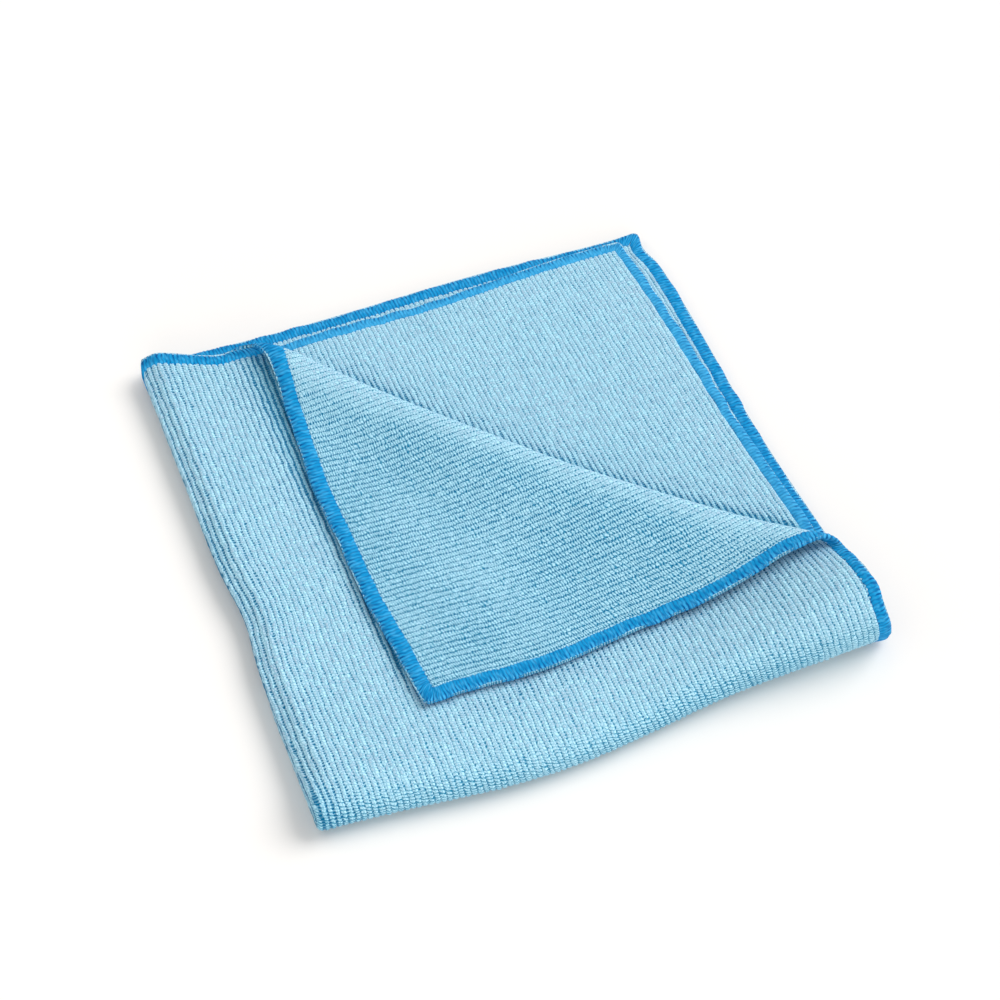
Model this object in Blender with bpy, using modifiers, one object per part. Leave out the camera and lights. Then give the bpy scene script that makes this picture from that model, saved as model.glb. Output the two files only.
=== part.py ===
"""Microfibre cloth, folded in four, with the corner of its top layer turned back.

The cloth is one knitted square. It is folded in half along its left side, then in half again along its
front, so that four layers lie on each other: top, second, third and bottom. The front fold is soft and
stands up toward the right. The free corner of the top layer is rolled back over a slanted crease and
lies on the cloth, with a loose mouth at the right.

Units are metres, +Z is up, and the cloth rests on z = 0 with its origin under the middle of its box.
While it is being folded, x runs right from the side fold and y runs back from the front fold.
"""
import math

import bmesh
import bpy
import numpy as np

# ---------------------------------------------------------------- the flat cloth
SIDE = 0.400                # hem to hem
HALF = SIDE / 2
SHEET = 0.0020              # thickness of the knit with its pile
PITCH = 0.0029              # middle to middle of two layers that lie on each other
FOLD_CENTRE = (0.1012, 0.0995)   # middle of the folded cloth, from the corner where its folds meet

# ---------------------------------------------------------------- the four layers
# How far each layer reaches: from the side fold, at its front and back ends, and from the front fold,
# at its left and right ends. The stack was laid by hand, so the hems don't meet.
LAYERS = {
    "top":    {"side_front": 0.1962, "side_back": 0.2036, "front_left": 0.2076, "front_right": 0.1963},
    "second": {"side_front": 0.2000, "side_back": 0.1892, "front_left": 0.1944, "front_right": 0.2003},
    "third":  {"side_front": 0.2026, "side_back": 0.1983, "front_left": 0.2073, "front_right": 0.2042},
    "bottom": {"side_front": 0.2030, "side_back": 0.1988, "front_left": 0.2074, "front_right": 0.2044},
}
# In-plane waves of each layer's back hem, and of its right hem
BACK_WAVES = {
    "top":    {"height": 0.0003, "length": 0.046, "start": -0.6},
    "second": {"height": 0.0008, "length": 0.104, "start": 4.1},
    "third":  {"height": 0.0010, "length": 0.155, "start": 2.5},
    "bottom": {"height": 0.0010, "length": 0.155, "start": 2.5},
}
SIDE_WAVES = {
    "top":    {"height": 0.0009, "length": 0.068, "start": 1.3},
    "second": {"height": 0.0007, "length": 0.124, "start": 5.8},
    "third":  {"height": 0.0010, "length": 0.154, "start": 0.8},
    "bottom": {"height": 0.0010, "length": 0.150, "start": 0.8},
}
HEM_REACH = 6               # the waves fade inward with this power of the way out to the hem
CORNER_PULL = (-0.0001, 0.0019)    # the back right corner of the two lower layers is drawn out
CORNER_REACH = 18           # and this fades inward with this power
CORNER_PINCH = {"in": 0.0018, "from_tip": 0.0085, "width": 0.0060}    # their right hem dips beside it

# ---------------------------------------------------------------- the two folds
SIDE_RADIUS = PITCH / 2     # the side fold turns the knit back on itself
FRONT_RADIUS = PITCH        # middle of the folded pair that turns at the front
STACK_MIDDLE = SHEET / 2 + SIDE_RADIUS + FRONT_RADIUS
FRONT_BOW = {"out": 0.0079, "middle": 0.078, "width": 0.056}     # the front fold bellies out
FRONT_CORNER = {"out": 0.0025, "start": 0.130, "width": 0.060}   # and runs out at its right end
BOW_REACH = 0.120           # both fade out over this much of each layer
SIDE_OVERHANG = {"in": 0.0035, "start": 0.045, "width": 0.030, "reach": 0.060}   # lower pair lies back
SIDE_DROOP = {"down": 0.0026, "start": 0.006, "width": 0.014, "reach": 0.007}    # upper pair hangs over
SIDE_DENT = {"in": 0.0021, "middle": 0.084, "width": 0.016, "reach": 0.025}

# ---------------------------------------------------------------- the lift of the top layer
# Left, middle and right heights of the soft front fold, above the pressed stack
NOSE_LIFT = (0.0024, 0.0022, 0.0137)
NOSE_FLAT = 0.008           # the lift starts to fall this far back from the front
NOSE_LENGTH = 0.024
LIFT_START = 0.006          # past the fold, the lift follows each point's own place from here on
# Heights along the crease, back to front, and how far from the crease they fall away
CREASE_LIFT = (0.0029, 0.0026, 0.0060)
CREASE_LENGTH = (0.018, 0.024, 0.024)
TOP_DIP = {"in": 0.0101, "reach": 0.0296}    # the top layer's back hem is drawn in beside the side fold
RIPPLE = {"height": 0.00030, "along_x": 0.083, "along_y": 0.117, "start": 1.0}

# ---------------------------------------------------------------- the turned-back corner
CREASE_BACK = (0.0506, 0.1811)
CREASE_FRONT = (0.1824, 0.0393)
CREASE_BOW = 0.0053         # the crease bends toward the corner that lies on the cloth
CREASE_HOOK = {"in": 0.0067, "share": -0.123, "width": 0.0485}   # and hooks round at its back end
ROLL_RADIUS = (0.0027, 0.0036, 0.0032)       # back, middle and front
SETTLE = (0.020, 0.060)     # the corner sinks to its rest over this length, back and front
CORNER_SLIP = (0.0118, -0.0046)              # the knit gives, so the corner lands askew
CORNER_BEND = (-0.0029, -0.0008)             # with its hems bent
CORNER_DEPTH = 0.115        # from the crease to the corner's point

# ---------------------------------------------------------------- the mesh
LOWER_CELLS = 6             # across the half of the cloth that goes under at a fold
TIGHT_CELLS = 4             # round the inner sheet of a fold
SIDE_NEAR = (0.0045, 0.007, 0.020, 0.034)               # grid lines beside the side fold
FRONT_NEAR = (0.0045, 0.0072, 0.0110, 0.0155, 0.0215, 0.0300)   # and beside the wider front fold
CREASE_CELLS = 32           # across the part of the cloth that the crease crosses
SEARCH_START = 0.001        # the crease is looked for from here, in even steps
SEARCH_STEPS = 400


def ease(t):
    """A step from 0 to 1 with soft ends."""
    t = np.clip(t, 0.0, 1.0)
    return t * t * (3.0 - 2.0 * t)


def three_part(values, t):
    """A soft passage through three values, at t = 0, 0.5 and 1."""
    first, middle, last = values
    t = np.clip(t, 0.0, 1.0)
    early = first + (middle - first) * ease(t / 0.5)
    late = middle + (last - middle) * ease((t - 0.5) / 0.5)
    return np.where(t < 0.5, early, late)


def bump(distance, width):
    """A bell of height 1 and the given width."""
    return np.exp(-(distance / width) ** 2)


def crease_frame():
    """Start, length, direction and outward normal of the slanted crease."""
    start = np.array(CREASE_BACK)
    run = np.array(CREASE_FRONT) - start
    length = math.hypot(*run)
    direction = run / length
    return start, length, direction, np.array((-direction[1], direction[0]))


def crease_coordinates(x, y):
    """Share of the way along the crease, distance past its straight line, and its bend there."""
    start, length, direction, normal = crease_frame()
    share = ((x - start[0]) * direction[0] + (y - start[1]) * direction[1]) / length
    past = (x - start[0]) * normal[0] + (y - start[1]) * normal[1]
    inside = np.clip(share, 0.0, 1.0)
    bow = CREASE_BOW * 4.0 * inside * (1.0 - inside)
    return share, past, bow + CREASE_HOOK["in"] * bump(share - CREASE_HOOK["share"], CREASE_HOOK["width"])


def top_lift(x, y):
    """Height of the top layer above the pressed stack: the soft front fold and the crease."""
    share, past = crease_coordinates(x, y)[:2]
    nose = three_part(NOSE_LIFT, x / HALF) * bump(np.maximum(y - NOSE_FLAT, 0.0), NOSE_LENGTH)
    return nose + three_part(CREASE_LIFT, share) * bump(past, three_part(CREASE_LENGTH, share))


def by_layer(column, upper, outer, table=LAYERS):
    """A column of a layer table, mixed by how far a point is upper (1) or lower, outer (1) or inner."""
    above = table["top"][column] * outer + table["second"][column] * (1.0 - outer)
    below = table["bottom"][column] * outer + table["third"][column] * (1.0 - outer)
    return above * upper + below * (1.0 - upper)


def fold_in_four(u, v):
    """Places of flat points (u, v) after both folds.

    Also how far each point is past the front fold, its lift there, and how far it is in the upper half
    (1, or 0 in the lower half) and in the outer sheet (1, or 0 in the inner one).
    """
    # Side fold: u > 0 is the outer sheet of the pair, u < 0 the inner one.
    side_angle = np.clip(u / SIDE_RADIUS, -math.pi / 2, math.pi / 2)
    x = SIDE_RADIUS * (1.0 - np.cos(side_angle)) + np.maximum(np.abs(u) - math.pi * SIDE_RADIUS / 2, 0.0)
    outer = (1.0 + np.sin(side_angle)) / 2

    # Front fold: v > 0 is the upper half. The outer sheet is lifted, so it turns on a larger radius.
    lift = outer * top_lift(x, np.full_like(x, NOSE_FLAT))
    radius = FRONT_RADIUS + SIDE_RADIUS * np.sin(side_angle) + lift / 2
    front_angle = np.clip(v / radius, -math.pi / 2, math.pi / 2)
    upper = (1.0 + np.sin(front_angle)) / 2
    run = np.maximum(np.abs(v) - math.pi * radius / 2, 0.0)
    turn_y = FRONT_RADIUS + SIDE_RADIUS + lift / 2

    # Each layer is stretched to its own reach.
    share_x, share_y = np.abs(u) / HALF, np.abs(v) / HALF
    side_reach = by_layer("side_front", upper, outer) * (1.0 - share_y)
    side_reach += by_layer("side_back", upper, outer) * share_y
    front_reach = by_layer("front_left", upper, outer) * (1.0 - share_x)
    front_reach += by_layer("front_right", upper, outer) * share_x
    x = x * side_reach / (SIDE_RADIUS + HALF - math.pi * SIDE_RADIUS / 2)
    y = turn_y - radius * np.cos(front_angle)
    y = y + run * (front_reach - turn_y) / (HALF - math.pi * radius / 2)
    z = STACK_MIDDLE + lift / 2 + radius * np.sin(front_angle)

    # The front fold bellies out, and the side fold overhangs, droops and has a dent.
    bow = FRONT_BOW["out"] * bump(x - FRONT_BOW["middle"], FRONT_BOW["width"])
    bow = bow + FRONT_CORNER["out"] * ease((x - FRONT_CORNER["start"]) / FRONT_CORNER["width"])
    y = y - bow * (1.0 - np.clip(run / BOW_REACH, 0.0, 1.0)) ** 2
    set_back = ease((y - SIDE_OVERHANG["start"]) / SIDE_OVERHANG["width"]) * (1.0 - upper)
    droop = ease((y - SIDE_DROOP["start"]) / SIDE_DROOP["width"]) * upper
    z = z - SIDE_DROOP["down"] * droop * ease(1.0 - x / SIDE_DROOP["reach"])
    x = x + SIDE_OVERHANG["in"] * set_back * bump(x, SIDE_OVERHANG["reach"])
    x = x + SIDE_DENT["in"] * bump(y - SIDE_DENT["middle"], SIDE_DENT["width"]) * bump(x, SIDE_DENT["reach"])
    y = y - TOP_DIP["in"] * ease(x / TOP_DIP["reach"]) * share_y ** 2 * upper * outer
    return x, y, z, run, lift, upper, outer


def hem_wave(table, along, upper, outer):
    """The waves of the hems along one side, mixed by layer."""
    turns = along / by_layer("length", upper, outer, table)
    wave = np.sin(2 * math.pi * turns + by_layer("start", upper, outer, table))
    return by_layer("height", upper, outer, table) * wave


def waver(x, y, u, v, upper, outer):
    """In-plane waves of the hems, and the drawn-out back right corner of the lower layers."""
    share_x, share_y = np.abs(u) / HALF, np.abs(v) / HALF
    moved_x = x + hem_wave(SIDE_WAVES, y, upper, outer) * share_x ** HEM_REACH
    moved_y = y + hem_wave(BACK_WAVES, x, upper, outer) * share_y ** HEM_REACH
    pinch = CORNER_PINCH["in"] * bump(HALF - np.abs(v) - CORNER_PINCH["from_tip"], CORNER_PINCH["width"])
    drawn_out = (share_x * share_y) ** CORNER_REACH
    lower = 1.0 - upper
    moved_x = moved_x + lower * (CORNER_PULL[0] * drawn_out - pinch * share_x ** HEM_REACH)
    return moved_x, moved_y + lower * CORNER_PULL[1] * drawn_out


def turn_corner_back(x, y, z, top, settled):
    """Roll the part of the top layer past the crease over a half turn, and lay it on the cloth."""
    start, length, direction, normal = crease_frame()
    share, past, bend = crease_coordinates(x, y)
    past = past + bend
    radius = three_part(ROLL_RADIUS, share)
    half_turn = math.pi * radius
    angle = np.clip(past, 0.0, half_turn) / radius
    beyond = np.maximum(past - half_turn, 0.0)
    out = radius * np.sin(angle) - beyond - bend
    settle = SETTLE[0] + (SETTLE[1] - SETTLE[0]) * ease(share)
    rise = radius * (1.0 - np.cos(angle)) - (2.0 * radius - PITCH) * ease(beyond / settle)
    slip = beyond / CORNER_DEPTH
    bent = 4.0 * slip * (1.0 - slip)
    turned_x = start[0] + direction[0] * share * length + normal[0] * out
    turned_y = start[1] + direction[1] * share * length + normal[1] * out
    turned_x = turned_x + CORNER_SLIP[0] * slip + CORNER_BEND[0] * bent
    turned_y = turned_y + CORNER_SLIP[1] * slip + CORNER_BEND[1] * bent
    turned = top & (past > 0.0)
    x, y = np.where(turned, turned_x, x), np.where(turned, turned_y, y)
    z = np.where(turned, settled + top_lift(x, y) + rise, z)
    return x, y, z


def cloth_point(u, v):
    """Middle of the sheet at the flat point (u, v), with the cloth folded and laid down."""
    x, y, z, run, lift, upper, outer = fold_in_four(u, v)
    x, y = waver(x, y, u, v, upper, outer)
    top = (u > 0.0) & (v > 0.0)
    z = np.where(top, z + outer * (top_lift(x, y) - lift) * ease(run / LIFT_START), z)
    pressed_top = STACK_MIDDLE + FRONT_RADIUS + SIDE_RADIUS
    x, y, z = turn_corner_back(x, y, z, top, pressed_top)
    wave = np.sin(2 * math.pi * x / RIPPLE["along_x"])
    wave *= np.sin(2 * math.pi * y / RIPPLE["along_y"] + RIPPLE["start"])
    above_table = np.clip((z - SHEET / 2) / pressed_top, 0.0, 1.0)
    z = z + RIPPLE["height"] * wave * above_table
    return x - FOLD_CENTRE[0], y - FOLD_CENTRE[1], z


def fold_lines(near):
    """Grid lines over a fold and beside it, with few on the half that goes under."""
    tight = math.pi * SIDE_RADIUS / 2
    return (-np.linspace(HALF, near[-1], LOWER_CELLS + 1), -np.array(near),
            np.linspace(-tight, tight, TIGHT_CELLS + 1), np.array(near))


def crease_crossing(u, v):
    """Where along a line of flat points the crease passes, as a share of the line."""
    past, bend = crease_coordinates(*fold_in_four(u, v)[:2])[1:]
    return np.interp(0.0, past + bend, np.linspace(0.0, 1.0, len(u)))


def grid_lines():
    """Grid lines both ways. They meet on the crease, so it runs along the diagonals of the cells."""
    line = np.linspace(SEARCH_START, HALF, SEARCH_STEPS)
    u_start = line[0] + (HALF - line[0]) * crease_crossing(line, np.full_like(line, HALF))
    u_crease = np.linspace(u_start, HALF, CREASE_CELLS + 1)
    shares = [crease_crossing(np.full_like(line, u), line) for u in u_crease]
    v_crease = line[0] + (HALF - line[0]) * np.array(shares)
    u_lines = np.concatenate(fold_lines(SIDE_NEAR) + (u_crease,))
    v_lines = np.concatenate(fold_lines(FRONT_NEAR) + (v_crease,))
    return np.unique(np.round(u_lines, 6)), np.unique(np.round(v_lines, 6))


def flat_grid(u_lines, v_lines):
    """A Blender grid whose vertices stand on the given lines, cut into triangles along the crease."""
    bpy.ops.mesh.primitive_grid_add(
        x_subdivisions=len(u_lines) - 1, y_subdivisions=len(v_lines) - 1, size=1.0)
    cloth = bpy.context.object
    mesh = bmesh.new()
    mesh.from_mesh(cloth.data)
    bmesh.ops.triangulate(mesh, faces=mesh.faces[:], quad_method="ALTERNATE")
    mesh.to_mesh(cloth.data)
    mesh.free()
    places = np.empty(len(cloth.data.vertices) * 3)
    cloth.data.vertices.foreach_get("co", places)
    places = places.reshape(-1, 3)
    column = np.rint((places[:, 0] + 0.5) * (len(u_lines) - 1)).astype(int)
    row = np.rint((places[:, 1] + 0.5) * (len(v_lines) - 1)).astype(int)
    return cloth, u_lines[column], v_lines[row]


def fabric_material():
    """Pale blue brushed microfibre."""
    material = bpy.data.materials.new("microfibre_pale_blue")
    material.use_nodes = True
    shader = material.node_tree.nodes["Principled BSDF"]
    shader.inputs["Base Color"].default_value = (0.46, 0.72, 0.86, 1.0)
    shader.inputs["Roughness"].default_value = 0.92
    shader.inputs["Metallic"].default_value = 0.0
    return material


def build_cloth(collection):
    """The whole cloth: a flat grid, moved to its folded shape and thickened."""
    u_lines, v_lines = grid_lines()
    cloth, u, v = flat_grid(u_lines, v_lines)
    cloth.name = cloth.data.name = "cloth"
    cloth.data.vertices.foreach_set("co", np.stack(cloth_point(u, v), axis=-1).ravel())
    cloth.data.materials.append(fabric_material())
    cloth.data.shade_smooth()
    thicken = cloth.modifiers.new("knit_thickness", "SOLIDIFY")
    thicken.thickness = SHEET
    thicken.offset = 0.0
    thicken.use_even_offset = True
    for other in cloth.users_collection:
        other.objects.unlink(cloth)
    collection.objects.link(cloth)
    return cloth


def main():
    """Clear the scene and build the cloth in a collection of its own."""
    for item in list(bpy.data.objects):
        bpy.data.objects.remove(item, do_unlink=True)
    collection = bpy.data.collections.new("microfibre_cloth")
    bpy.context.scene.collection.children.link(collection)
    build_cloth(collection)


main()
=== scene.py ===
"""Microfibre cloth folded in four, with the corner of its top layer turned back.

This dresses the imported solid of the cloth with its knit, its ribs of pile, its overlocked edging and its
colours. Lengths are metres. On the flat cloth u runs across the ribs and v along them, both from -200 to
200 mm. After folding, u > 0 is the outer sheet of each folded pair and v > 0 is the upper half, so the
layers are top (u > 0, v > 0), second (u < 0, v > 0), third (u < 0, v < 0) and bottom (u > 0, v < 0).
"""
import math

import bpy
import numpy as np
from mathutils import Matrix, Vector


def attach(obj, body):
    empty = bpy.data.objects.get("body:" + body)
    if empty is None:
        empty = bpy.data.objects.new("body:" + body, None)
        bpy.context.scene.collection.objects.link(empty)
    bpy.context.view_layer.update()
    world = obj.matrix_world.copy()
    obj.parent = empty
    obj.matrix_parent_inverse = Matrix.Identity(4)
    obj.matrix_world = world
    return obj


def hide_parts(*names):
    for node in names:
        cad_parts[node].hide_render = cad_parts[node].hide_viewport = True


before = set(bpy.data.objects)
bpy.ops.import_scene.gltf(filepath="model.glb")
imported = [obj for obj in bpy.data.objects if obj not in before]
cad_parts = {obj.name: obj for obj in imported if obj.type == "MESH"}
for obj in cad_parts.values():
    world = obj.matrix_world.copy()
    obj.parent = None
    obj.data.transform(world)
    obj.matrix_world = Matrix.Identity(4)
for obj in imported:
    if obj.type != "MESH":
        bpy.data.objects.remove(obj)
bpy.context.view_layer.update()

# ---------------------------------------------------------------- the folded cloth, as the solid has it
SIDE = 0.400
HALF = SIDE / 2
SHEET = 0.0020
PITCH = 0.0029
FOLD_CENTRE = (0.1012, 0.0995)
LAYERS = {
    "top":    {"side_front": 0.1962, "side_back": 0.2036, "front_left": 0.2076, "front_right": 0.1963},
    "second": {"side_front": 0.2000, "side_back": 0.1892, "front_left": 0.1944, "front_right": 0.2003},
    "third":  {"side_front": 0.2026, "side_back": 0.1983, "front_left": 0.2073, "front_right": 0.2042},
    "bottom": {"side_front": 0.2030, "side_back": 0.1988, "front_left": 0.2074, "front_right": 0.2044},
}
BACK_WAVES = {
    "top":    {"height": 0.0003, "length": 0.046, "start": -0.6},
    "second": {"height": 0.0008, "length": 0.104, "start": 4.1},
    "third":  {"height": 0.0010, "length": 0.155, "start": 2.5},
    "bottom": {"height": 0.0010, "length": 0.155, "start": 2.5},
}
SIDE_WAVES = {
    "top":    {"height": 0.0009, "length": 0.068, "start": 1.3},
    "second": {"height": 0.0007, "length": 0.124, "start": 5.8},
    "third":  {"height": 0.0010, "length": 0.154, "start": 0.8},
    "bottom": {"height": 0.0010, "length": 0.150, "start": 0.8},
}
HEM_REACH = 6
CORNER_PULL = (-0.0001, 0.0019)
CORNER_REACH = 18
CORNER_PINCH = {"in": 0.0018, "from_tip": 0.0085, "width": 0.0060}
SIDE_RADIUS = PITCH / 2
FRONT_RADIUS = PITCH
STACK_MIDDLE = SHEET / 2 + SIDE_RADIUS + FRONT_RADIUS
PRESSED_TOP = STACK_MIDDLE + FRONT_RADIUS + SIDE_RADIUS
FRONT_BOW = {"out": 0.0079, "middle": 0.078, "width": 0.056}
FRONT_CORNER = {"out": 0.0025, "start": 0.130, "width": 0.060}
BOW_REACH = 0.120
SIDE_OVERHANG = {"in": 0.0035, "start": 0.045, "width": 0.030, "reach": 0.060}
SIDE_DROOP = {"down": 0.0026, "start": 0.006, "width": 0.014, "reach": 0.007}
SIDE_DENT = {"in": 0.0021, "middle": 0.084, "width": 0.016, "reach": 0.025}
NOSE_LIFT = (0.0024, 0.0022, 0.0137)
NOSE_FLAT = 0.008
NOSE_LENGTH = 0.024
LIFT_START = 0.006
CREASE_LIFT = (0.0029, 0.0026, 0.0060)
CREASE_LENGTH = (0.018, 0.024, 0.024)
TOP_DIP = {"in": 0.0101, "reach": 0.0296}
RIPPLE = {"height": 0.00030, "along_x": 0.083, "along_y": 0.117, "start": 1.0}
CREASE_BACK = (0.0506, 0.1811)
CREASE_FRONT = (0.1824, 0.0393)
CREASE_BOW = 0.0053
CREASE_HOOK = {"in": 0.0067, "share": -0.123, "width": 0.0485}
ROLL_RADIUS = (0.0027, 0.0036, 0.0032)
SETTLE = (0.020, 0.060)
CORNER_SLIP = (0.0118, -0.0046)
CORNER_BEND = (-0.0029, -0.0008)
CORNER_DEPTH = 0.115

# ---------------------------------------------------------------- knit, pile and edging
CORNER_ROUND = 0.0022       # radius of the cloth's own four corners
GROUND_HALF = 0.0003        # half the thickness of the ground knit
GROUND_CELL = 0.0025
RIB = 0.0020                # one rib and the gap beside it
RIB_POINTS = 4              # grid points across a rib
ROW = 0.0010                # grid points along a rib
# The gaps lie this high above the middle of the sheet, and the ribs rise from there, rounded and lumpy
PILE = {"gap": 0.00052, "rise": 0.00044, "roundness": 0.4, "uneven": 0.16, "lumps": 0.0035}
RIBS_APART = 2.7            # from rib to rib in the unevenness, so each swells on its own
FLAP_RISE = 0.45            # the ribs of the inner face that shows are this much as high
WANDER = {"sideways": 0.00011, "across": 0.0034, "along": 0.0070}   # how the ribs stray
LOOP = 0.00105              # one loop of pile and the next, along a rib
UNDER_EDGING = {"height": 0.00055, "from": 0.0042, "over": 0.0012}  # the pile is pressed down there
HEM = 0.0052                # width of the edging on most faces
RIM = 0.0014                # how far in its round rim reaches
# Its width on the outer and on the inner face, before and past the fold that crosses the hem
EDGING_WIDTHS = {
    ("u", 1):  {"outer": (HEM, 0.0040), "inner": (HEM, 0.0055)},
    ("u", -1): {"outer": (HEM, HEM),    "inner": (HEM, 0.0045)},
    ("v", 1):  {"outer": (HEM, HEM),    "inner": (0.0045, 0.0068)},
    ("v", -1): {"outer": (HEM, HEM),    "inner": (HEM, HEM)},
}
WIDTH_CHANGE = 0.016        # the length of hem over which that width changes
THREAD = 0.0013             # one thread of the edging and the next
THREAD_POINTS = 3           # grid points across a thread
MITRE_OVERLAP = 0.0004      # at a corner, past the diagonal
EDGING = {"height": 0.00100, "ridge": 0.00012, "lean": 0.00070, "ragged": 0.00020, "wobble": 0.00022,
          "stray": 0.00012}
# How long its unevenness is along the hem, and how different it is on its two faces and on the four hems
EDGING_LUMPS = {"ridge": 0.0026, "ragged": 0.0011, "wobble": 0.011, "stray": 0.004}
FACES_APART = 900.0         # for each metre of height
HEMS_APART = 7.0
# The edging's section: inset from the hem and share of its height, from the cloth to the rim
HEM_SECTION = ((HEM + 0.0002, 0.40), (HEM - 0.0001, 0.66), (0.0046, 0.84), (0.0037, 1.00),
               (0.0027, 1.08), (0.0017, 1.02), (0.0008, 0.80), (0.00025, 0.45))
# Painted shade beside the turned-back corner, along its left and its front hem, and behind its crease,
# drawn as gaps that stand open
SHADE_BESIDE_CORNER = {
    "left":  {"at_crease": 0.0190, "at_tip": 0.0045, "most": 1.00},
    "front": {"at_crease": 0.0095, "at_tip": 0.0030, "most": 0.35},
}
TIP_FADE = 0.20             # share of those hems over which that painted shade fades toward the tip
SHADE_BEHIND_CREASE = {"start": 0.0060, "reach": (0.0110, 0.0090, 0.0065), "most": 0.90}
CREASE_FADE = 0.15          # share of the crease over which that painted shade sets in behind it
ROLL_HIGHLIGHT = {"past": 0.0085, "width": 0.0060, "less": 0.35}    # painted highlight: the gaps are drawn shut along where the corner rolls over
SHUT = 0.16                 # how far the gaps between the ribs stand open where the cloth lies flat
SHUT_FLAP = 0.52            # and on the inner face that the turned-back corner shows
PATCHES = {"more": 0.03, "across": 0.045, "along": 0.060}     # how that varies over the cloth
# The ribs part over the side fold, which runs along them, and a little over the front one. The loops part
# over the front fold, which runs across. Painted shade beside another layer parts them less than the ribs.
RIBS_PART = {"side": 0.40, "side_width": 0.015, "front": 0.15, "front_width": 0.011}
LOOPS_PART = {"front": 0.42, "front_width": 0.009, "shaded": 0.10}
RIM_LOOP = {"length": 0.00175, "out": 0.00016, "up": 0.00010}
FINE_LINES = 13             # grid lines of the ground knit over each fold
FINE_ACROSS = 0.0045        # and how far they reach to each side of the side fold
FINE_ALONG = 0.0075         # and of the front fold
NORMAL_STEP = 0.0004        # for the slopes of the sheet
ON_FLOOR = 0.00006          # the least height above the floor


# ---------------------------------------------------------------- soft maths
def ease(t):
    """A step from 0 to 1 with soft ends."""
    t = np.clip(t, 0.0, 1.0)
    return t * t * (3.0 - 2.0 * t)


def three_part(values, t):
    """A soft passage through three values, at t = 0, 0.5 and 1."""
    first, middle, last = values
    t = np.clip(t, 0.0, 1.0)
    early = first + (middle - first) * ease(t / 0.5)
    late = middle + (last - middle) * ease((t - 0.5) / 0.5)
    return np.where(t < 0.5, early, late)


def bump(distance, width):
    """A bell of height 1 and the given width."""
    return np.exp(-(distance / width) ** 2)


def uneven(x, y, seed, waves=16):
    """Smooth unevenness of spread 1: sine waves of many directions, about 1 unit of x and y long."""
    rng = np.random.default_rng(seed)
    total = np.zeros(np.broadcast(x, y).shape)
    for turn, length, start in rng.uniform((0.0, 0.6, 0.0), (2 * math.pi, 1.7, 2 * math.pi), (waves, 3)):
        total += np.sin(2 * math.pi * (x * math.cos(turn) + y * math.sin(turn)) / length + start)
    return total / math.sqrt(waves / 2)


# ---------------------------------------------------------------- the folds
def crease_frame():
    """Start, length, direction and outward normal of the slanted crease."""
    start = np.array(CREASE_BACK)
    run = np.array(CREASE_FRONT) - start
    length = math.hypot(*run)
    direction = run / length
    return start, length, direction, np.array((-direction[1], direction[0]))


def crease_coordinates(x, y):
    """Share of the way along the crease, distance past its straight line, and its bend there."""
    start, length, direction, normal = crease_frame()
    share = ((x - start[0]) * direction[0] + (y - start[1]) * direction[1]) / length
    past = (x - start[0]) * normal[0] + (y - start[1]) * normal[1]
    inside = np.clip(share, 0.0, 1.0)
    bow = CREASE_BOW * 4.0 * inside * (1.0 - inside)
    return share, past, bow + CREASE_HOOK["in"] * bump(share - CREASE_HOOK["share"], CREASE_HOOK["width"])


def top_lift(x, y):
    """Height of the top layer above the pressed stack: the soft front fold and the crease."""
    share, past = crease_coordinates(x, y)[:2]
    nose = three_part(NOSE_LIFT, x / HALF) * bump(np.maximum(y - NOSE_FLAT, 0.0), NOSE_LENGTH)
    return nose + three_part(CREASE_LIFT, share) * bump(past, three_part(CREASE_LENGTH, share))


def by_layer(column, upper, outer, table=LAYERS):
    """A column of a layer table, mixed by how far a point is upper (1) or lower, outer (1) or inner."""
    above = table["top"][column] * outer + table["second"][column] * (1.0 - outer)
    below = table["bottom"][column] * outer + table["third"][column] * (1.0 - outer)
    return above * upper + below * (1.0 - upper)


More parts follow.
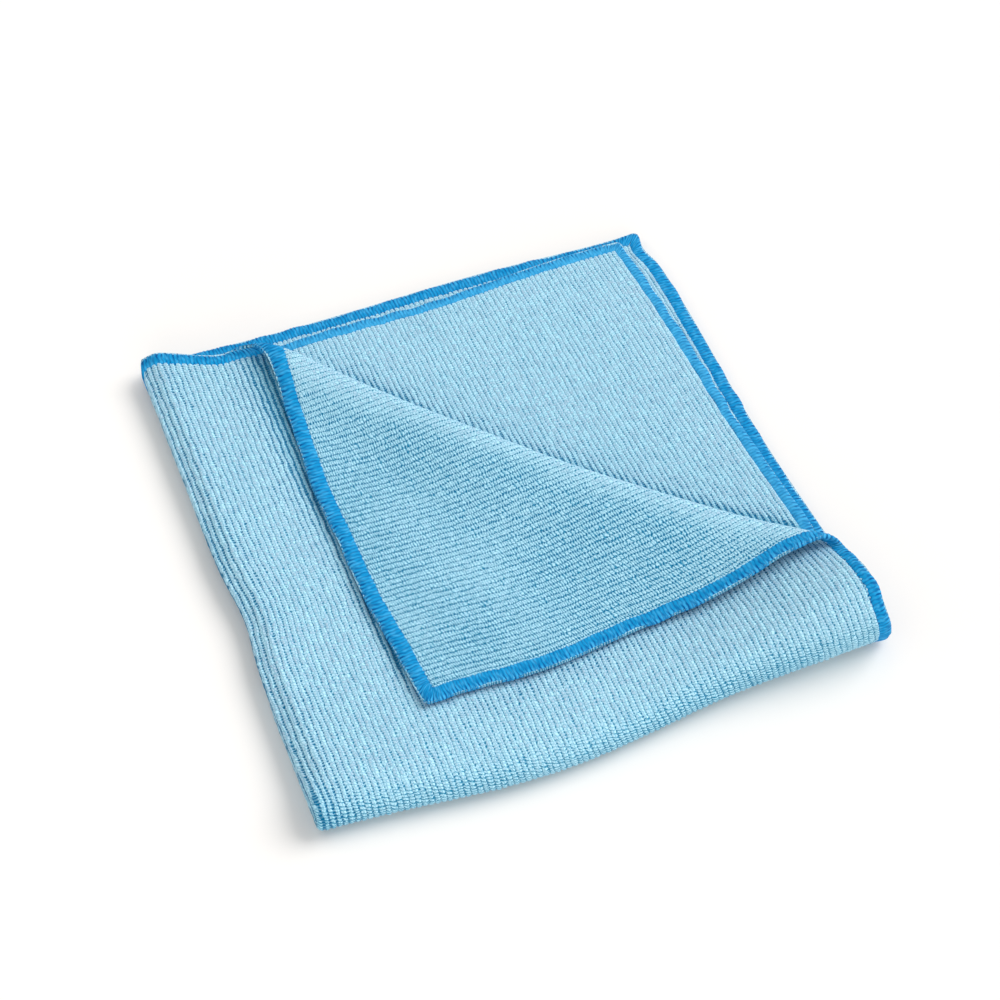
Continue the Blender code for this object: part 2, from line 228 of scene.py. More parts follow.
def fold_in_four(u, v):
    """Places of flat points (u, v) after both folds.

    Also how far each point is past the front fold, its lift there, and how far it is in the upper half
    (1, or 0 in the lower half) and in the outer sheet (1, or 0 in the inner one).
    """
    side_angle = np.clip(u / SIDE_RADIUS, -math.pi / 2, math.pi / 2)
    x = SIDE_RADIUS * (1.0 - np.cos(side_angle)) + np.maximum(np.abs(u) - math.pi * SIDE_RADIUS / 2, 0.0)
    outer = (1.0 + np.sin(side_angle)) / 2

    lift = outer * top_lift(x, np.full_like(x, NOSE_FLAT))
    radius = FRONT_RADIUS + SIDE_RADIUS * np.sin(side_angle) + lift / 2
    front_angle = np.clip(v / radius, -math.pi / 2, math.pi / 2)
    upper = (1.0 + np.sin(front_angle)) / 2
    run = np.maximum(np.abs(v) - math.pi * radius / 2, 0.0)
    turn_y = FRONT_RADIUS + SIDE_RADIUS + lift / 2

    share_x, share_y = np.abs(u) / HALF, np.abs(v) / HALF
    side_reach = by_layer("side_front", upper, outer) * (1.0 - share_y)
    side_reach += by_layer("side_back", upper, outer) * share_y
    front_reach = by_layer("front_left", upper, outer) * (1.0 - share_x)
    front_reach += by_layer("front_right", upper, outer) * share_x
    x = x * side_reach / (SIDE_RADIUS + HALF - math.pi * SIDE_RADIUS / 2)
    y = turn_y - radius * np.cos(front_angle)
    y = y + run * (front_reach - turn_y) / (HALF - math.pi * radius / 2)
    z = STACK_MIDDLE + lift / 2 + radius * np.sin(front_angle)

    bow = FRONT_BOW["out"] * bump(x - FRONT_BOW["middle"], FRONT_BOW["width"])
    bow = bow + FRONT_CORNER["out"] * ease((x - FRONT_CORNER["start"]) / FRONT_CORNER["width"])
    y = y - bow * (1.0 - np.clip(run / BOW_REACH, 0.0, 1.0)) ** 2
    set_back = ease((y - SIDE_OVERHANG["start"]) / SIDE_OVERHANG["width"]) * (1.0 - upper)
    droop = ease((y - SIDE_DROOP["start"]) / SIDE_DROOP["width"]) * upper
    z = z - SIDE_DROOP["down"] * droop * ease(1.0 - x / SIDE_DROOP["reach"])
    x = x + SIDE_OVERHANG["in"] * set_back * bump(x, SIDE_OVERHANG["reach"])
    dent = SIDE_DENT["in"] * bump(y - SIDE_DENT["middle"], SIDE_DENT["width"])
    x = x + dent * bump(x, SIDE_DENT["reach"])
    y = y - TOP_DIP["in"] * ease(x / TOP_DIP["reach"]) * share_y ** 2 * upper * outer
    return x, y, z, run, lift, upper, outer


def hem_wave(table, along, upper, outer):
    """The waves of the hems along one side, mixed by layer."""
    turns = along / by_layer("length", upper, outer, table)
    wave = np.sin(2 * math.pi * turns + by_layer("start", upper, outer, table))
    return by_layer("height", upper, outer, table) * wave


def waver(x, y, u, v, upper, outer):
    """In-plane waves of the hems, and the drawn-out back right corner of the lower layers."""
    share_x, share_y = np.abs(u) / HALF, np.abs(v) / HALF
    moved_x = x + hem_wave(SIDE_WAVES, y, upper, outer) * share_x ** HEM_REACH
    moved_y = y + hem_wave(BACK_WAVES, x, upper, outer) * share_y ** HEM_REACH
    pinch = CORNER_PINCH["in"] * bump(HALF - np.abs(v) - CORNER_PINCH["from_tip"], CORNER_PINCH["width"])
    drawn_out = (share_x * share_y) ** CORNER_REACH
    lower = 1.0 - upper
    moved_x = moved_x + lower * (CORNER_PULL[0] * drawn_out - pinch * share_x ** HEM_REACH)
    return moved_x, moved_y + lower * CORNER_PULL[1] * drawn_out


def turn_corner_back(x, y, z, top, settled):
    """Roll the part of the top layer past the crease over a half turn, and lay it on the cloth."""
    start, length, direction, normal = crease_frame()
    share, past, bend = crease_coordinates(x, y)
    past = past + bend
    radius = three_part(ROLL_RADIUS, share)
    half_turn = math.pi * radius
    angle = np.clip(past, 0.0, half_turn) / radius
    beyond = np.maximum(past - half_turn, 0.0)
    out = radius * np.sin(angle) - beyond - bend
    settle = SETTLE[0] + (SETTLE[1] - SETTLE[0]) * ease(share)
    rise = radius * (1.0 - np.cos(angle)) - (2.0 * radius - PITCH) * ease(beyond / settle)
    slip = beyond / CORNER_DEPTH
    bent = 4.0 * slip * (1.0 - slip)
    turned_x = start[0] + direction[0] * share * length + normal[0] * out
    turned_y = start[1] + direction[1] * share * length + normal[1] * out
    turned_x = turned_x + CORNER_SLIP[0] * slip + CORNER_BEND[0] * bent
    turned_y = turned_y + CORNER_SLIP[1] * slip + CORNER_BEND[1] * bent
    turned = top & (past > 0.0)
    x, y = np.where(turned, turned_x, x), np.where(turned, turned_y, y)
    z = np.where(turned, settled + top_lift(x, y) + rise, z)
    return x, y, z


def round_corners(u, v):
    """Flat points with the cloth's corners rounded: each corner's square is drawn in to a quarter disc."""
    across = np.maximum(np.abs(u) - (HALF - CORNER_ROUND), 0.0)
    along = np.maximum(np.abs(v) - (HALF - CORNER_ROUND), 0.0)
    shrink = np.maximum(across, along) / np.maximum(np.hypot(across, along), 1e-9)
    shrink = np.where((across > 0.0) & (along > 0.0), shrink, 1.0)
    return u - np.sign(u) * across * (1.0 - shrink), v - np.sign(v) * along * (1.0 - shrink)


def past_crease(u, v):
    """How far past the crease each flat point lies, before the corner is turned back."""
    past, bend = crease_coordinates(*fold_in_four(u, v)[:2])[1:]
    return past + bend


def cloth_point(u, v):
    """Middle of the sheet at the flat point (u, v), with the cloth folded and laid down."""
    x, y, z, run, lift, upper, outer = fold_in_four(u, v)
    x, y = waver(x, y, u, v, upper, outer)
    top = (u > 0.0) & (v > 0.0)
    z = np.where(top, z + outer * (top_lift(x, y) - lift) * ease(run / LIFT_START), z)
    x, y, z = turn_corner_back(x, y, z, top, PRESSED_TOP)
    wave = np.sin(2 * math.pi * x / RIPPLE["along_x"])
    wave *= np.sin(2 * math.pi * y / RIPPLE["along_y"] + RIPPLE["start"])
    z = z + RIPPLE["height"] * wave * np.clip((z - SHEET / 2) / PRESSED_TOP, 0.0, 1.0)
    return np.stack([x - FOLD_CENTRE[0], y - FOLD_CENTRE[1], z], axis=-1)


def off_sheet(u, v, height):
    """Points at a height off the middle of the sheet, on its outer side or, below 0, on its inner side.

    What would reach below the floor is pressed flat on it.
    """
    u, v = round_corners(u, v)
    step = NORMAL_STEP
    normal = np.cross(cloth_point(u + step, v) - cloth_point(u - step, v),
                      cloth_point(u, v + step) - cloth_point(u, v - step))
    normal /= np.linalg.norm(normal, axis=-1, keepdims=True)
    places = cloth_point(u, v) + normal * height[..., None]
    places[..., 2] = np.maximum(places[..., 2], ON_FLOOR)
    return places


# ---------------------------------------------------------------- meshes
def new_object(name, data):
    """An object with its data, in the scene."""
    made = bpy.data.objects.new(name, data)
    bpy.context.scene.collection.objects.link(made)
    return made


def add_piece(name, places, quads, material, maps, attributes):
    """A smooth object from points and quads.

    It has UV maps with a value at each quad's corners, and attributes with one at each point.
    """
    used, corners = np.unique(quads, return_inverse=True)
    corners = corners.reshape(-1, 4)
    mesh = bpy.data.meshes.new(name)
    mesh.from_pydata(places[used], [], corners)
    for layer, values in maps.items():
        mesh.uv_layers.new(name=layer).data.foreach_set("uv", values.astype(np.float32).ravel())
    for layer, values in attributes.items():
        attribute = mesh.attributes.new(layer, "FLOAT", "POINT")
        attribute.data.foreach_set("value", values[used].astype(np.float32))
    mesh.materials.append(material)
    mesh.shade_smooth()
    return new_object(name, mesh)


def grid_quads(rows, columns, first=0):
    """Quads between neighbouring points of a grid, turning from columns to rows."""
    index = first + np.arange(rows * columns).reshape(rows, columns)
    corners = index[:-1, :-1], index[:-1, 1:], index[1:, 1:], index[1:, :-1]
    return np.stack(corners, axis=-1).reshape(-1, 4)


def unit(values):
    """Values brought to 0..1."""
    return (values - values.min()) / (values.max() - values.min())


def shade_beside_corner(u, v, start, spread):
    """Painted shade beside one hem of the turned-back corner, which runs from start to its tip, as how far
    the gaps open.
    """
    tip = cloth_point(np.array(HALF), np.array(HALF))[:2] + FOLD_CENTRE
    start = np.array(start)
    run = tip - start
    length = math.hypot(*run)
    share = ((u - start[0]) * run[0] + (v - start[1]) * run[1]) / length ** 2
    beside = np.abs((u - start[0]) * run[1] - (v - start[1]) * run[0]) / length
    reach = spread["at_crease"] + (spread["at_tip"] - spread["at_crease"]) * ease(share)
    return spread["most"] * bump(beside, reach) * ease((1.0 - share) / TIP_FADE)


def shade_behind_crease(u, v):
    """Painted shade on the second layer behind the crease, as how far its gaps open."""
    share = crease_coordinates(np.abs(u), v)[0]
    behind = np.maximum(past_crease(np.abs(u), v) - SHADE_BEHIND_CREASE["start"], 0.0)
    shade = SHADE_BEHIND_CREASE["most"] * bump(behind, three_part(SHADE_BEHIND_CREASE["reach"], share))
    return shade * ease(share / CREASE_FADE)


def openness(u, v, side, shut):
    """How far the gaps stand open between the ribs, and how far those between one rib's loops.

    Both are a piece's own share, and more as a bell over each fold. Beside another layer they are raised
    further, as painted shade.
    """
    own = shut + PATCHES["more"] * uneven(u / PATCHES["across"], v / PATCHES["along"], seed=5)
    if side < 0:
        # A painted highlight along the roll of the turned-back corner, made by shutting the gaps there
        roll_highlight = bump(past_crease(u, v) - ROLL_HIGHLIGHT["past"], ROLL_HIGHLIGHT["width"])
        own = own - ROLL_HIGHLIGHT["less"] * (u > 0.0) * roll_highlight
    # Painted shade beside the turned-back corner and behind its crease, added to how far the gaps open
    beside = shade_beside_corner(u, v, CREASE_BACK, SHADE_BESIDE_CORNER["left"])
    beside = beside + shade_beside_corner(u, v, CREASE_FRONT, SHADE_BESIDE_CORNER["front"])
    shaded = np.where(u > 0.0, beside * (side > 0), shade_behind_crease(u, v)) * (v > 0.0)
    ribs = own + RIBS_PART["side"] * bump(u, RIBS_PART["side_width"])
    ribs = ribs + RIBS_PART["front"] * bump(v, RIBS_PART["front_width"]) + shaded
    loops = own + LOOPS_PART["front"] * bump(v, LOOPS_PART["front_width"]) + LOOPS_PART["shaded"] * shaded
    return {"open": np.clip(ribs, 0.0, 1.0).ravel(), "parted": np.clip(loops, 0.0, 1.0).ravel()}


def edging_width(way, sign, along, face):
    """Width of the edging at places along one hem, on its outer or its inner face."""
    before, past = EDGING_WIDTHS[way, sign][face]
    return before + (past - before) * ease(0.5 + along / WIDTH_CHANGE)


def inset_past_edging(u, v, face):
    """How far in from the nearer hem each point lies, less what its edging is wider than most."""
    insets = []
    for way, across, along in (("u", u, v), ("v", v, u)):
        widths = [edging_width(way, sign, along, face) for sign in (1, -1)]
        insets.append(HALF - np.abs(across) - (np.where(across > 0.0, *widths) - HEM))
    return np.minimum(*insets)


def pile(name, side, across, along, keep, shut, rise, material):
    """A sheet of ribs on the outer (1) or inner (-1) side of the cloth.

    A rib's height over its width is a low power of a half sine. The ribs stray sideways, swell and thin,
    and are pressed down near the hems, under the edging. A quad is made where keep says so at its four
    corners.
    """
    columns = round((across[1] - across[0]) / RIB * RIB_POINTS) + 1
    rows = round((along[1] - along[0]) / ROW) + 1
    u, v = np.meshgrid(np.linspace(*across, columns), np.linspace(*along, rows))
    number = np.floor(u / RIB)
    arch = np.abs(np.sin(math.pi * u / RIB)) ** PILE["roundness"]
    swell = 1.0 + PILE["uneven"] * uneven(number * RIBS_APART, v / PILE["lumps"], seed=11 + side)
    height = PILE["gap"] + PILE["rise"] * (1.0 - rise + rise * arch * swell)
    inset = HALF - np.maximum(np.abs(u), np.abs(v))
    past_edging = inset_past_edging(u, v, "outer" if side > 0 else "inner")
    free = ease((past_edging - UNDER_EDGING["from"]) / UNDER_EDGING["over"])
    height = UNDER_EDGING["height"] + (height - UNDER_EDGING["height"]) * free
    stray = WANDER["sideways"] * uneven(u / WANDER["across"], v / WANDER["along"], seed=3) * free
    places = off_sheet(u + stray, v, side * height)
    quads = grid_quads(rows, columns)[:, ::side]
    shown = keep(u, v, inset).ravel()
    quads = quads[shown[quads].all(axis=1)]
    flat = np.stack([u, v], axis=-1).reshape(-1, 2)
    bake = np.stack([unit(u), unit(v)], axis=-1).reshape(-1, 2)
    maps = {"OFBake": bake[quads], "knit": flat[quads]}
    return add_piece(name, places.reshape(-1, 3), quads, material, maps, openness(u, v, side, shut))


def fold_lines(fine, cell):
    """Even grid lines over the whole cloth, with finer ones where it turns at a fold."""
    coarse = np.linspace(-HALF, HALF, round(SIDE / cell) + 1)
    near = np.linspace(-fine, fine, FINE_LINES)
    return np.concatenate([coarse[coarse < -fine - cell / 3], near, coarse[coarse > fine + cell / 3]])


def ground_knit(material):
    """The thin ground knit that carries the pile: two sides, a little apart, joined round the rim.

    Its bake map has the outer side on the left, the inner side on the right and the rim between them.
    """
    u, v = np.meshgrid(fold_lines(FINE_ACROSS, GROUND_CELL), fold_lines(FINE_ALONG, GROUND_CELL))
    rows, columns = u.shape
    count = u.size
    places = np.concatenate([off_sheet(u, v, np.full_like(u, side * GROUND_HALF)).reshape(-1, 3)
                             for side in (1, -1)])
    index = np.arange(count).reshape(rows, columns)
    rim = np.concatenate([index[0, :-1], index[:-1, -1], index[-1, :0:-1], index[:0:-1, 0]])
    after = np.roll(rim, -1)
    outer, inner = grid_quads(rows, columns), grid_quads(rows, columns, count)[:, ::-1]
    edge = np.stack([rim + count, after + count, after, rim], axis=-1)
    quads = np.concatenate([outer, inner, edge])

    flat = np.tile(np.stack([u, v], axis=-1).reshape(-1, 2), (2, 1))
    half = np.stack([unit(u) * 0.48, unit(v)], axis=-1).reshape(-1, 2)
    bake = np.concatenate([half, half + (0.52, 0.0)])[quads]
    way = np.linspace(0.0, 1.0, len(rim) + 1)
    ends = np.stack([way[:-1], way[1:], way[1:], way[:-1]], axis=-1)
    strip = np.broadcast_to((0.51, 0.51, 0.49, 0.49), ends.shape)
    bake[len(outer) + len(inner):] = np.stack([strip, ends], axis=-1)
    maps = {"OFBake": bake, "knit": flat[quads]}
    attributes = {name: np.tile(values, 2) for name, values in openness(u, v, 1, SHUT).items()}
    return add_piece("ground_knit", places, quads, material, maps, attributes)


def hem_section():
    """The edging's crowned path round the cloth's rim: inset from the hem, and height off the sheet."""
    face = [(inset, share * EDGING["height"]) for inset, share in HEM_SECTION]
    return np.array(face + [(0.0, 0.0)] + [(inset, -height) for inset, height in face[::-1]])


def edging(material):
    """The overlock thread round the four hems.

    Threads cross the hem side by side over both faces and round the rim, as ridges of the height, a little
    askew, with ragged ends on the cloth. Loops of thread along the rim make it scalloped. At a corner each
    hem's threads close up to the diagonal. In the bake map the four hems are strips, one above the other.
    """
    section = hem_section()
    count = THREAD_POINTS * round(SIDE / THREAD)
    along = np.linspace(-HALF, HALF, count + 1)
    round_rim = np.repeat(unit(np.arange(float(len(section))))[:, None], len(along), axis=1)
    places, quads, bakes, threads, worn = [], [], [], [], []
    for hem, (on_u, sign) in enumerate(((True, 1), (True, -1), (False, 1), (False, -1))):
        s, inset = np.meshgrid(along, section[:, 0])
        height = np.repeat(section[:, 1:], len(along), axis=1)
        part = np.clip(inset / HEM, 0.0, 1.0)
        way = "u" if on_u else "v"
        widths = [edging_width(way, sign, s, face) for face in ("outer", "inner")]
        width = np.where(height > 0.0, *widths)
        inset = inset + np.maximum(inset - RIM, 0.0) * (width - HEM) / (HEM - RIM)

        # The threads' ridges, their ragged ends, the loops round the rim and how the threads stray and lean
        thread = np.cos(2 * math.pi * np.arange(len(along)) / THREAD_POINTS)
        thread = thread[None, :] * (0.8 + 0.35 * uneven(s / EDGING_LUMPS["ridge"], hem, seed=21))
        ragged = uneven(s / EDGING_LUMPS["ragged"], height * FACES_APART + hem, seed=23)
        rim_loop = np.abs(np.sin(math.pi * s / RIM_LOOP["length"])) * ease(1.6 - 2.4 * part)
        inset = inset + EDGING["ragged"] * ragged * part ** 4
        inset = inset - RIM_LOOP["out"] * rim_loop * (1.0 - part) ** 2
        raised = EDGING["ridge"] * thread * (part < 1.0) + RIM_LOOP["up"] * rim_loop
        height = height + np.sign(height) * raised
        wobble = uneven(s / EDGING_LUMPS["wobble"], hem * HEMS_APART + 0.25 * part, seed=29)
        inset = inset + EDGING["wobble"] * wobble
        stray = EDGING["stray"] * uneven(s / EDGING_LUMPS["stray"], part * 2.0, seed=25)
        leaning = s + EDGING["lean"] * part + stray

        # Near a corner the threads close up to the diagonal
        close = ease((np.abs(s) - (HALF - 2 * HEM)) / (2 * HEM))
        mitre = np.maximum(inset - MITRE_OVERLAP, 0.0)
        v = np.sign(s) * (np.abs(leaning) - np.maximum(np.abs(leaning) - HALF, 0.0) * close - mitre * close)
        v = np.where(close > 0.0, v, leaning)
        u = sign * (HALF - inset)

        flat = (u, v) if on_u else (v, u)
        places.append(off_sheet(*flat, height).reshape(-1, 3))
        turn = 1 if (sign > 0) == on_u else -1
        quads.append(grid_quads(*s.shape, first=hem * s.size)[:, ::turn])
        bakes.append(np.stack([unit(s), (hem + 0.02 + 0.96 * round_rim) / 4], axis=-1).reshape(-1, 2))
        threads.append(np.stack([s + hem * SIDE, part * HEM], axis=-1).reshape(-1, 2))
        # The second layer's inner face, whose edging is a little paler
        of_second = (height < 0.0) & ((sign < 0) == on_u) & ((s > 0.0) == on_u)
        worn.append(of_second.ravel().astype(float))
    quads = np.concatenate(quads)
    maps = {"OFBake": np.concatenate(bakes)[quads], "thread": np.concatenate(threads)[quads]}
    attributes = {"worn": np.concatenate(worn)}
    return add_piece("overlock_edging", np.concatenate(places), quads, material, maps, attributes)


# ---------------------------------------------------------------- materials
class Signal:
    """A number that varies over a surface. Sums, products and the like add Math nodes."""

    def __init__(self, shader, socket):
        self.shader, self.socket = shader, socket

    def maths(self, operation, *others):
        """A Math node of this signal and others, or numbers."""
        sockets = dict(enumerate((self, *others)))
        return self.shader.node("ShaderNodeMath", {"operation": operation}, sockets)

    def flipped(self, operation, other):
        """A Math node with the other number first."""
        return self.shader.node("ShaderNodeMath", {"operation": operation}, {0: other, 1: self})

    def from_middle(self):
        """How far a count is from the middle of its step: 0 there, and 1 at both ends."""
        return (self.maths("FRACT") - 0.5).maths("ABSOLUTE") * 2.0

    def __add__(self, other):
        return self.maths("ADD", other)

    def __sub__(self, other):
        return self.maths("SUBTRACT", other)

    def __rsub__(self, other):
        return self.flipped("SUBTRACT", other)

    def __mul__(self, other):
        return self.maths("MULTIPLY", other)

    def __truediv__(self, other):
        return self.maths("DIVIDE", other)

    __radd__, __rmul__ = __add__, __mul__


class Shader:
    """One material, and the nodes that vary it."""

    def __init__(self, name, roughness, **fixed):
        self.material = bpy.data.materials.new(name)
        self.material.use_nodes = True
        self.nodes, self.links = self.material.node_tree.nodes, self.material.node_tree.links
        self.surface = self.nodes["Principled BSDF"]
        self.surface.inputs["Roughness"].default_value = roughness
        for socket, value in fixed.items():
            self.surface.inputs[socket.replace("_", " ")].default_value = value

    def node(self, kind, settings=None, sockets=None, output=0):
        """A node of a kind, with its settings, then its sockets' values or links, as a signal."""
        node = self.nodes.new(kind)
        for setting, value in (settings or {}).items():
            setattr(node, setting, value)
        for socket, value in (sockets or {}).items():
            self.feed(node.inputs[socket], value)
        return Signal(self, node.outputs[output])

    def feed(self, socket, value):
        """A link into a socket from a signal, or a plain value on it."""
        if isinstance(value, Signal):
            self.links.new(value.socket, socket)
        else:
            socket.default_value = value

    def plane(self, layer):
        """The two coordinates of a UV map, in metres."""
        both = self.node("ShaderNodeUVMap", {"uv_map": layer})
        return (self.node("ShaderNodeSeparateXYZ", None, {0: both}, 0),
                self.node("ShaderNodeSeparateXYZ", None, {0: both}, 1))

    def attribute(self, name):
        """A number that the mesh keeps at its points."""
        return self.node("ShaderNodeAttribute", {"attribute_name": name}, output=2)

    def noise(self, x, y, seed, detail=1.0):
        """Noise from 0 to 1 whose lumps are about 1 unit of x and y."""
        where = self.node("ShaderNodeCombineXYZ", None, {0: x, 1: y, 2: seed})
        return self.node("ShaderNodeTexNoise", {"noise_dimensions": "3D"},
                         {"Vector": where, "Scale": 1.0, "Detail": detail, "Roughness": 0.55})

    def step(self, value, low, high):
        """A soft step from 0 to 1 as value goes from low to high."""
        return self.node("ShaderNodeMapRange", {"interpolation_type": "SMOOTHSTEP"},
                         {"Value": value, "From Min": low, "From Max": high})

    def mix(self, share, first, second):
        """Two colours, mixed by a share."""
        return self.node("ShaderNodeMix", {"data_type": "RGBA"}, {"Factor": share, 6: first, 7: second}, 2)

    def finish(self, colour, relief, distance, strength):
        """Colour and fine relief on the surface."""
        self.feed(self.surface.inputs["Base Color"], colour)
        normal = self.node("ShaderNodeBump", None,
                           {"Height": relief, "Distance": distance, "Strength": strength})
        self.feed(self.surface.inputs["Normal"], normal)
        return self.material


def colour(red, green, blue):
    """A screen colour, 0 to 255, as the shader's linear one."""
    share = np.array((red, green, blue)) / 255.0
    linear = np.where(share <= 0.04045, share / 12.92, ((share + 0.055) / 1.055) ** 2.4)
    return (*linear.tolist(), 1.0)


PILE_PALE = colour(188, 235, 252)
PILE_GREY = colour(186, 208, 230)
PILE_SHADE = colour(84, 168, 197)
# The gaps between ribs and between loops: the knit that shows there, in painted shade, deepest where they
# stand widest
GAP_SHADE_BLUE = colour(34, 138, 178)
GAP_SHADE_DEEP = colour(0, 108, 154)
THREAD_BLUE = colour(15, 153, 214)
# Pale: painted highlights of the thread's gloss, and the paler tone of one face's edging
THREAD_PALE_GLOSS = colour(70, 176, 228)
# Deep: painted shade between threads and between the rim's loops, and the deeper tone at the threads'
# ragged ends
THREAD_DEEP = colour(0, 86, 150)
LOOPS_ACROSS = 2            # loops side by side in a rib
LOOP_JITTER = 0.6           # how far they stray from even rows


def pile_material():
    """Brushed pile: loops along each rib, with broken lines of deeper blue between ribs and between loops,
    painted shade on the knit that shows there.

    Where the gaps stand open, the lines widen and deepen, and each rib shows as a stack of loops.
    Where they stand widest, beside the turned-back corner and behind its crease, painted shade darkens the
    ribs too.
    """
    shader = Shader("microfibre_pile", 0.95, Sheen_Weight=0.1, Sheen_Roughness=0.5, Specular_IOR_Level=0.05)
    u, v = shader.plane("knit")
    opened_and_shaded, parted = shader.attribute("open"), shader.attribute("parted")
    rib, loop = u / RIB, v / LOOP

    # The gaps between ribs, jagged, and bridged by loops here and there
    jag = shader.noise(rib * 1.8, loop * 0.9, 1.0) - 0.5
    from_gap = (rib + jag * 0.50 + 0.5).from_middle()
    gap_number = (rib + 0.5).maths("FLOOR")
    shift = shader.noise(gap_number * 5.3, loop * 0.15, 4.0) * 3.0
    from_link = (loop + shift + jag * 0.5).from_middle()
    strength = shader.noise(gap_number * 3.1, loop * 0.35, 7.0)
    width = 0.09 + opened_and_shaded * 0.30 + opened_and_shaded * opened_and_shaded * 0.25 + (strength - 0.5) * 0.6
    gap = 1.0 - shader.step(from_gap, width * 0.65, width + 0.14)
    linked = 0.95 - shader.step(opened_and_shaded, 0.40, 0.80) * 0.65
    gap = gap * (1.0 - shader.step(from_link, 0.30, 0.80) * linked)

    # The gaps between the loops of one rib
    lean = loop + shader.noise(rib.maths("FLOOR") * 4.1, loop * 0.12, 9.0) * 4.0 + rib * 0.35
    bend = shader.noise(rib * 2.3, loop * 0.7, 12.0) - 0.5
    from_loop = (lean + bend * 0.7).from_middle()
    part = parted * 1.40 + (shader.noise(rib * 1.3, loop * 0.6, 14.0) - 0.5) * 0.9 - 0.20
    cross = shader.step(from_loop, 1.13 - part, 1.38 - part)
    cross = cross * (1.0 - shader.step(from_gap, 0.55, 1.0) * 0.40)

    # The fleece: rounded loops, each of its own tone, painted shade in the hollows between them, and fine
    # strands
    where = shader.node("ShaderNodeCombineXYZ", None,
                        {0: rib * LOOPS_ACROSS - 0.5 + LOOP_JITTER / 2, 1: lean, 2: 0.0})
    spread = {"Vector": where, "Scale": 1.0, "Randomness": LOOP_JITTER}
    to_edge = {"voronoi_dimensions": "2D", "feature": "DISTANCE_TO_EDGE"}
    edge = shader.node("ShaderNodeTexVoronoi", to_edge, spread)
    own = shader.node("ShaderNodeTexVoronoi", {"voronoi_dimensions": "2D"}, spread, 1)
    own = shader.node("ShaderNodeSeparateXYZ", None, {0: own})
    fluff = shader.noise(rib * 3.1, loop * 1.7, 2.0)
    patches = shader.noise(u / 0.012, v / 0.018, 6.0) - 0.5
    hollow = 1.0 - shader.step(edge + (fluff - 0.5) * 0.5, 0.02, 0.26)
    strands = shader.noise(rib * 5.0, loop * 2.4, 21.0) - 0.5
    shade = hollow * 0.80 + own * 0.25 + patches * 0.2 + strands * (0.4 + parted * 1.6)
    # Painted shade on the ribs where the gaps stand widest: beside the turned-back corner and behind its
    # crease
    shade = shade * (0.63 - parted * 0.12) + shader.step(opened_and_shaded, 0.55, 1.0) * 0.40
    fleece = shader.mix(shade, shader.mix(own * (1.0 - parted * 1.6), PILE_PALE, PILE_GREY), PILE_SHADE)
    line = gap.maths("MAXIMUM", cross)
    # Painted shade in the gaps, deeper where they stand wider
    between = shader.mix(shader.step(gap * (0.35 + opened_and_shaded), 0.35, 0.95), GAP_SHADE_BLUE, GAP_SHADE_DEEP)
    relief = (1.0 - hollow) * 0.6 + (1.0 - line) * 0.5
    return shader.finish(shader.mix(line, fleece, between), relief, 0.0003, 0.6)


def edging_material():
    """Textured overlock thread: bright blue, with painted highlights of its gloss and painted shade between
    threads, and a row of loops at the rim.
    """
    shader = Shader("overlock_thread", 0.7, Specular_IOR_Level=0.1)
    s, inset = shader.plane("thread")
    worn = shader.attribute("worn")
    part = inset / HEM
    askew = s / THREAD + part * 0.9
    strand = shader.noise(askew * 3.0, part * 2.4, 3.0, detail=2.0) - 0.5
    runs = shader.noise(s / 0.0022, part * 1.6, 8.0)
    between = askew.from_middle()
    from_loop = (s / RIM_LOOP["length"]).from_middle()
    at_rim = 1.0 - shader.step(part + strand * 0.1, 0.10, 0.30)
    beads = 1.0 - shader.step(part + strand * 0.1, 0.22, 0.62)
    end = shader.step(part + strand * 0.10, 0.90, 0.98)
    # Painted highlights of the thread's gloss, in runs along the hem and on the rim's loops; the paler tone
    # of the second layer's inner edging
    pale = shader.step(runs + strand * 0.9, 0.42, 0.72) * 0.7
    pale = pale + at_rim * (1.0 - from_loop) * 0.9 + worn * 0.6
    # Painted shade between threads and between the rim's loops; the threads' ragged ends and some runs are
    # deeper in tone
    deep = shader.step(between + strand * 1.6, 0.40, 0.95) * (0.52 + end * 0.4) * (1.0 - worn * 0.35)
    deep = deep + beads * shader.step(from_loop + strand * 0.3, 0.45, 0.85) * 0.55 + end * 0.25
    deep = deep + shader.step(runs, 0.62, 0.38) * 0.15
    body = shader.mix(pale, THREAD_BLUE, THREAD_PALE_GLOSS)
    return shader.finish(shader.mix(deep, body, THREAD_DEEP), strand - deep * 0.5, 0.0002, 0.5)


# ---------------------------------------------------------------- the pieces
MARGIN = 0.016              # pile that goes on under another layer near a hem
UNDER = 0.045               # and near the crease
AROUND_SIDE = 0.006         # the outer pile goes on round the side fold
AROUND_FRONT = 0.012        # and the front fold
COVERED = 0.014             # the turned-back corner covers what lies further past the crease


def all_of(u, v, inset):
    """Every point of the sheet."""
    return np.full(u.shape, True)


def until_crease(u, v, inset):
    """What the turned-back corner doesn't cover, and its margin."""
    return (past_crease(u, v) < COVERED) | (inset < MARGIN)


def from_crease(u, v, inset):
    """What lies past the crease, and the nearest of what lies before it."""
    return past_crease(u, v) > -UNDER


def near_hem(u, v, inset):
    """The margin along the hems."""
    return inset < MARGIN


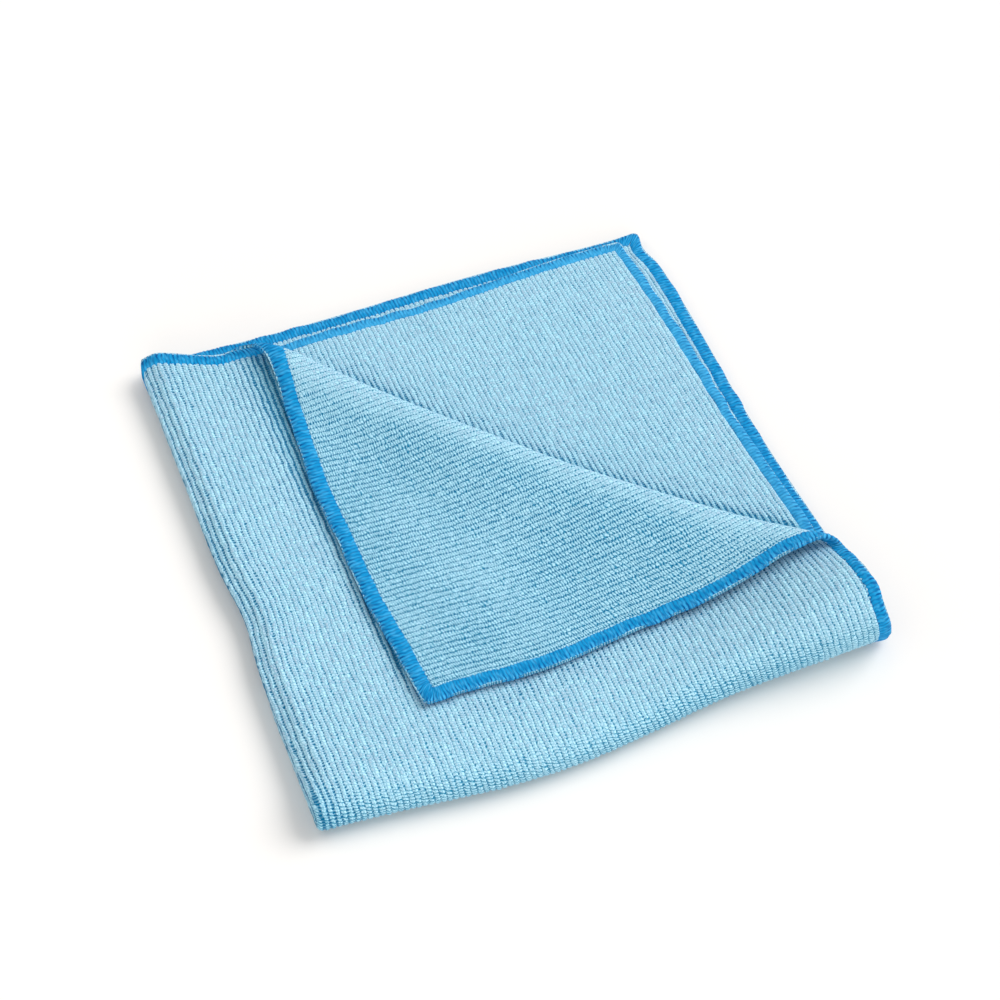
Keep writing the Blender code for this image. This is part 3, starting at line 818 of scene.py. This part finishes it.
def make_cloth():
    """The cloth's pieces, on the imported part's body and in its place."""
    fleece, thread = pile_material(), edging_material()
    ground = ground_knit(fleece)
    ribs = [
        pile("ribs_top", 1, (-AROUND_SIDE, HALF), (-AROUND_FRONT, HALF), until_crease, SHUT, 1.0, fleece),
        pile("ribs_flap", -1, (0.0, HALF), (-AROUND_FRONT, HALF), from_crease, SHUT_FLAP, FLAP_RISE,
             fleece),
        pile("ribs_second", -1, (-HALF, 0.0), (-AROUND_FRONT, HALF), from_crease, SHUT, 1.0, fleece),
        pile("ribs_third", 1, (-HALF, -AROUND_SIDE), (-HALF, 0.0), near_hem, SHUT, 1.0, fleece),
        pile("ribs_bottom", 1, (-AROUND_SIDE, HALF), (-HALF, -AROUND_FRONT), all_of, SHUT, 1.0, fleece),
    ]
    edge = edging(thread)
    for piece in (ground, edge, *ribs):
        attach(piece, "root")
    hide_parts("cloth")


# ---------------------------------------------------------------- camera, floor and light
CAMERA_ANGLES = (-21.508, 52.329, 0.25)     # degrees to the right, above the floor, and of roll
CAMERA_AIM = (0.00136, 0.00562, 0.0)
CAMERA_DISTANCE = 0.833
LENS = 84.36                # millimetres, on a sensor of this width
SENSOR = 36.0
# Each sun's strength, how many degrees wide it is and the way that it comes from
SUNS = {
    "key":  (2.00, 40, (0.97, 0.10, 0.98)),
    "fill": (0.92, 50, (-0.15, -0.97, 0.14)),
}
ALL_ROUND = 0.67            # strength of the light from everywhere
FLOOR_REACH = 6.0
FLOOR_COLOUR = (0.908, 0.886, 0.862, 1.0)


def make_camera():
    """The camera at the photographed angle, from the front left and above."""
    turn, rise, roll = (math.radians(angle) for angle in CAMERA_ANGLES)
    back = Vector((math.sin(turn) * math.cos(rise), -math.cos(turn) * math.cos(rise), math.sin(rise)))
    right = Vector((-back.y, back.x, 0.0)).normalized()
    up = back.cross(right)
    side = right * math.cos(roll) + up * math.sin(roll)
    head = up * math.cos(roll) - right * math.sin(roll)
    data = bpy.data.cameras.new("camera")
    data.lens, data.sensor_width = LENS, SENSOR
    data.clip_start, data.clip_end = 0.01, 20.0
    place = Matrix((side, head, back)).transposed().to_4x4()
    place.translation = Vector(CAMERA_AIM) + back * CAMERA_DISTANCE
    camera = new_object("camera", data)
    camera.matrix_world = place
    bpy.context.scene.camera = camera


def make_floor():
    """A wide white floor."""
    mesh = bpy.data.meshes.new("floor")
    corners = [(x * FLOOR_REACH, y * FLOOR_REACH, 0) for x, y in ((-1, -1), (1, -1), (1, 1), (-1, 1))]
    mesh.from_pydata(corners, [], [(0, 1, 2, 3)])
    shader = Shader("white_floor", 0.9, Base_Color=FLOOR_COLOUR, Specular_IOR_Level=0.0)
    mesh.materials.append(shader.material)
    new_object("floor", mesh)


def make_light():
    """A broad soft sun from the right, a weak low one from the front, and even light from all round."""
    for name, (energy, angle, towards) in SUNS.items():
        sun = bpy.data.lights.new(name, "SUN")
        sun.energy, sun.angle = energy, math.radians(angle)
        lamp = new_object(name, sun)
        lamp.rotation_euler = Vector(towards).to_track_quat("Z", "Y").to_euler()
    world = bpy.data.worlds.new("studio")
    world.use_nodes = True
    background = world.node_tree.nodes["Background"]
    background.inputs["Color"].default_value = (1.0, 1.0, 1.0, 1.0)
    background.inputs["Strength"].default_value = ALL_ROUND
    bpy.context.scene.world = world
    bpy.context.scene.view_settings.view_transform = "Standard"


make_camera()
make_floor()
make_light()
make_cloth()
